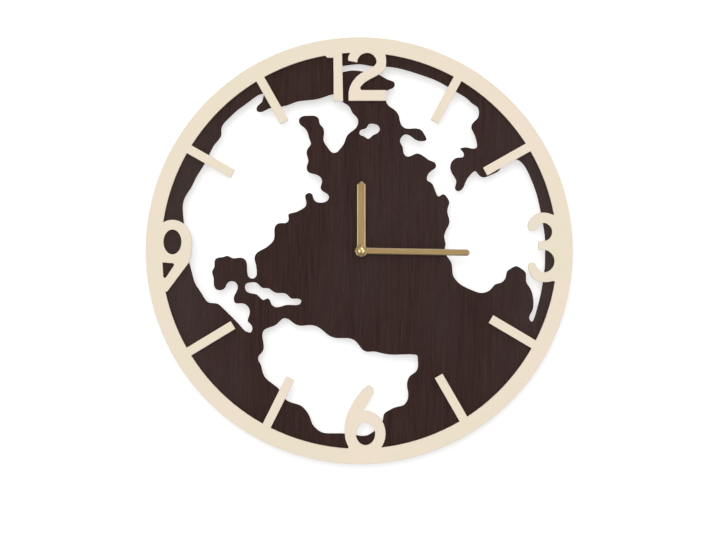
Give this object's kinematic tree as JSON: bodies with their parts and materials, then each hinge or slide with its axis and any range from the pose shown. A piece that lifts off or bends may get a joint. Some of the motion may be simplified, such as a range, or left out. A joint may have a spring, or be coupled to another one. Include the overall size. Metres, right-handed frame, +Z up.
{
  "type": "world map wall clock",
  "caption": "Round wall clock: dark board with a cut-out world map under a cream ring of figures and hour bars, brass hands, battery quartz movement behind.",
  "frame": {"origin": "where the axis of the hands meets the wall plane, on the back of the movement's cover", "axes": "+Z up, +X to the right of the dial, the dial faces -Y, so +Y runs into the wall"},
  "size_m": [0.35, 0.0325, 0.35],
  "materials": {
    "dark_board": "dark brown, fine upright grain, satin",
    "cream_board": "smooth pale cream, satin",
    "hand_brass": "brushed along the hand, bevelled edges brighter",
    "polished_brass": "polished",
    "fittings_brass": "turned",
    "zinc_steel": "bright zinc",
    "magnet_metal": "dull grey",
    "soft_iron": "plain sheet",
    "black_plastic": "fine texture",
    "white_plastic": "moulded, satin",
    "rubber_gasket": "dull black",
    "copper_wire": "enamelled copper",
    "board_laminate": "green lacquer",
    "black_resin": "glossy drop",
    "contact_steel": "nickel plated",
    "cell_metal": "bare metal",
    "cell_film": "plain dark green film"
  },
  "bodies": {
    "clock": {"map_disc": "dark_board", "dial_ring": "cream_board", "threaded_bush": "fittings_brass", "fixing_nut": "fittings_brass", "fixing_washer": "fittings_brass", "gasket": "rubber_gasket", "hanger_bracket": "zinc_steel", "front_case": "black_plastic", "rear_cover": "black_plastic", "train_plate": "white_plastic", "stator": "soft_iron", "coil_core": "soft_iron", "coil_bobbin": "white_plastic", "coil_winding": "copper_wire", "circuit_board": "board_laminate", "chip": "black_resin", "quartz_crystal": "contact_steel", "positive_contact": "contact_steel", "negative_contact": "contact_steel"},
    "minute": {"minute_hand": "hand_brass", "minute_hand_bush": "fittings_brass", "hand_cap_nut": "polished_brass", "minute_arbor": "fittings_brass", "clutch_spring": "contact_steel"},
    "hour": {"hour_hand": "hand_brass", "hour_hand_bush": "fittings_brass", "hour_wheel": "white_plastic"},
    "minute_wheel": {"minute_wheel": "white_plastic"},
    "setting_knob": {"setting_knob": "white_plastic"},
    "centre_wheel": {"centre_wheel": "white_plastic"},
    "third_wheel": {"third_wheel": "white_plastic"},
    "fourth_wheel": {"fourth_wheel": "white_plastic"},
    "fifth_wheel": {"fifth_wheel": "white_plastic"},
    "rotor": {"rotor_spindle": "white_plastic", "rotor_magnet": "magnet_metal"},
    "battery": {"battery_can": "cell_metal", "battery_sleeve": "cell_film"}
  },
  "joints": [
    {"name": "minute_turn", "type": "hinge", "parent": "clock", "child": "minute", "pos_m": [0, 0, 0], "axis": [0, 1, 0], "continuous": true},
    {"name": "hour_turn", "type": "hinge", "parent": "clock", "child": "hour", "pos_m": [0, 0, 0], "axis": [0, 1, 0], "continuous": true},
    {"name": "minute_wheel_turn", "type": "hinge", "parent": "clock", "child": "minute_wheel", "pos_m": [0.00636, 0, 0.00636], "axis": [0, 1, 0], "continuous": true},
    {"name": "setting_knob_turn", "type": "hinge", "parent": "clock", "child": "setting_knob", "pos_m": [0.01482, 0, 0.00329], "axis": [0, 1, 0], "continuous": true},
    {"name": "rotor_turn", "type": "hinge", "parent": "clock", "child": "rotor", "pos_m": [-0.01187, 0, -0.00278], "axis": [0, 1, 0], "continuous": true},
    {"name": "fifth_wheel_turn", "type": "hinge", "parent": "clock", "child": "fifth_wheel", "pos_m": [-0.0063, 0, -0.00229], "axis": [0, 1, 0], "continuous": true},
    {"name": "fourth_wheel_turn", "type": "hinge", "parent": "clock", "child": "fourth_wheel", "pos_m": [0, 0, 0], "axis": [0, 1, 0], "continuous": true},
    {"name": "third_wheel_turn", "type": "hinge", "parent": "clock", "child": "third_wheel", "pos_m": [-0.00112, 0, 0.00636], "axis": [0, 1, 0], "continuous": true},
    {"name": "centre_wheel_turn", "type": "hinge", "parent": "clock", "child": "centre_wheel", "pos_m": [0, 0, 0], "axis": [0, 1, 0], "continuous": true},
    {"name": "battery_slide", "type": "slide", "parent": "clock", "child": "battery", "axis": [0, 1, 0], "range_m": [0, 0.018]}
  ],
  "couplings": [
    {"joint": "hour_turn", "follows": "minute_turn", "ratio": 0.083333},
    {"joint": "minute_wheel_turn", "follows": "minute_turn", "ratio": -0.33333},
    {"joint": "setting_knob_turn", "follows": "minute_turn", "ratio": 1},
    {"joint": "fifth_wheel_turn", "follows": "rotor_turn", "ratio": -0.16667},
    {"joint": "fourth_wheel_turn", "follows": "rotor_turn", "ratio": 0.033333},
    {"joint": "third_wheel_turn", "follows": "rotor_turn", "ratio": -0.0041667},
    {"joint": "centre_wheel_turn", "follows": "rotor_turn", "ratio": 0.00055556}
  ]
}
